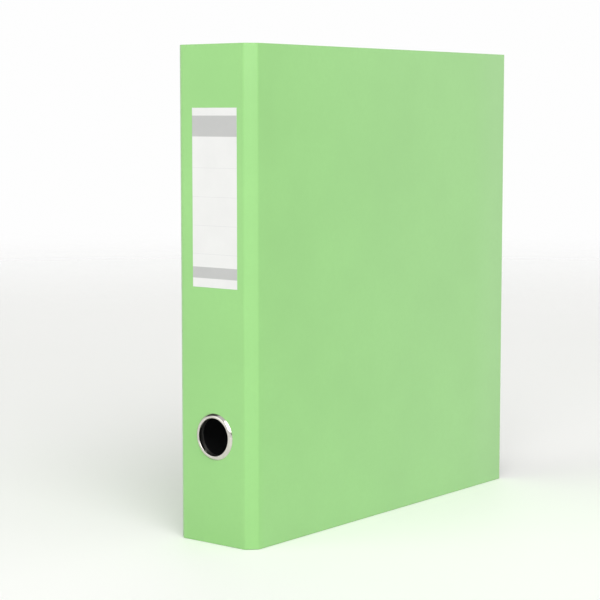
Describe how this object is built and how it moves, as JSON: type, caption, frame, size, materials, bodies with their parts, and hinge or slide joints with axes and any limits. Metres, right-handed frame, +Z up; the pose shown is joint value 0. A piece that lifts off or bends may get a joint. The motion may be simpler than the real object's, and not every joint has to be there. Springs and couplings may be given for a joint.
{
  "type": "lever arch file",
  "caption": "Upright board file case with creased spine hinges, a spine label, a finger ring and an inner lever-worked arch mechanism that opens to take punched paper.",
  "frame": {"origin": "centre of the bounding box's bottom face, on the plane the closed file stands on", "axes": "+Z up along the spine; the spine faces -Y and the open fore edge +Y; the front cover is at +X and the back cover, with the mechanism, at -X"},
  "size_m": [0.065, 0.2906, 0.318],
  "materials": {
    "board": "matt greyboard",
    "foil": "satin fine-grained covering foil, pastel green",
    "lining": "matt charcoal paper",
    "label_paper": "matt white paper",
    "ring_nickel": "polished nickel plate",
    "plate_steel": "satin nickel plate",
    "wire_steel": "bright nickel plate",
    "spring_steel": "oiled spring wire",
    "lever_steel": "bright nickel plate",
    "bar_steel": "satin nickel plate",
    "black_plastic": "fine-textured black",
    "roller_plastic": "smooth off-white",
    "catch_plastic": "smooth black"
  },
  "bodies": {
    "back_cover": {"back_board": "board", "back_foil": "foil", "back_lining": "lining", "base_plate": "plate_steel", "mounting_rivets": "plate_steel", "rivet_washers": "plate_steel", "post_lower": "wire_steel", "post_upper": "wire_steel", "torsion_spring": "spring_steel", "lever_pin": "plate_steel"},
    "rear_hinge": {"rear_hinge_foil": "foil", "rear_hinge_lining": "lining"},
    "spine": {"spine_board": "board", "spine_foil": "foil", "spine_lining": "lining", "spine_label": "label_paper", "finger_ring_outer": "ring_nickel", "finger_ring_inner": "ring_nickel"},
    "front_hinge": {"front_hinge_foil": "foil", "front_hinge_lining": "lining"},
    "front_cover": {"front_board": "board", "front_foil": "foil", "front_lining": "lining"},
    "arches": {"arch_wire": "wire_steel"},
    "lever": {"lever": "lever_steel", "lever_grip": "black_plastic", "roller_pin": "plate_steel"},
    "roller": {"roller": "roller_plastic"},
    "compressor": {"compressor_bar": "bar_steel", "compressor_cap_lower": "black_plastic", "compressor_cap_upper": "black_plastic"},
    "release": {"release_catch": "catch_plastic"}
  },
  "joints": [
    {"name": "rear_crease_a", "type": "hinge", "parent": "back_cover", "child": "rear_hinge", "pos_m": [-0.0325, -0.1384, 0.159], "axis": [0, 0, -1], "range_deg": [0, 45]},
    {"name": "rear_crease_b", "type": "hinge", "parent": "rear_hinge", "child": "spine", "pos_m": [-0.0262, -0.1447, 0.159], "axis": [0, 0, -1], "range_deg": [0, 45]},
    {"name": "front_crease_a", "type": "hinge", "parent": "spine", "child": "front_hinge", "pos_m": [0.0262, -0.1447, 0.159], "axis": [0, 0, -1], "range_deg": [0, 45]},
    {"name": "front_crease_b", "type": "hinge", "parent": "front_hinge", "child": "front_cover", "pos_m": [0.0325, -0.1384, 0.159], "axis": [0, 0, -1], "range_deg": [0, 45]},
    {"name": "lever_pivot", "type": "hinge", "parent": "back_cover", "child": "lever", "pos_m": [-0.01585, -0.1009, 0.1665], "axis": [0, -1, 0], "range_deg": [0, 75]},
    {"name": "arch_swing", "type": "hinge", "parent": "back_cover", "child": "arches", "pos_m": [-0.025, -0.1162, 0.159], "axis": [0, 0, -1], "range_deg": [0, 35]},
    {"name": "roller_spin", "type": "hinge", "parent": "lever", "child": "roller", "pos_m": [-0.01985, -0.1009, 0.15957], "axis": [0, 1, 0], "continuous": true},
    {"name": "compressor_slide", "type": "slide", "parent": "arches", "child": "compressor", "axis": [1, 0, 0], "range_m": [0, 0.015]},
    {"name": "release_slide", "type": "slide", "parent": "compressor", "child": "release", "axis": [0, 0, -1], "range_m": [0, 0.002], "stiffness_N_per_m": 300, "springref_m": -0.001}
  ],
  "couplings": [
    {"joint": "rear_crease_b", "follows": "rear_crease_a", "ratio": 1},
    {"joint": "front_crease_b", "follows": "front_crease_a", "ratio": 1},
    {"joint": "arch_swing", "follows": "lever_pivot", "ratio": 0.4666}
  ]
}
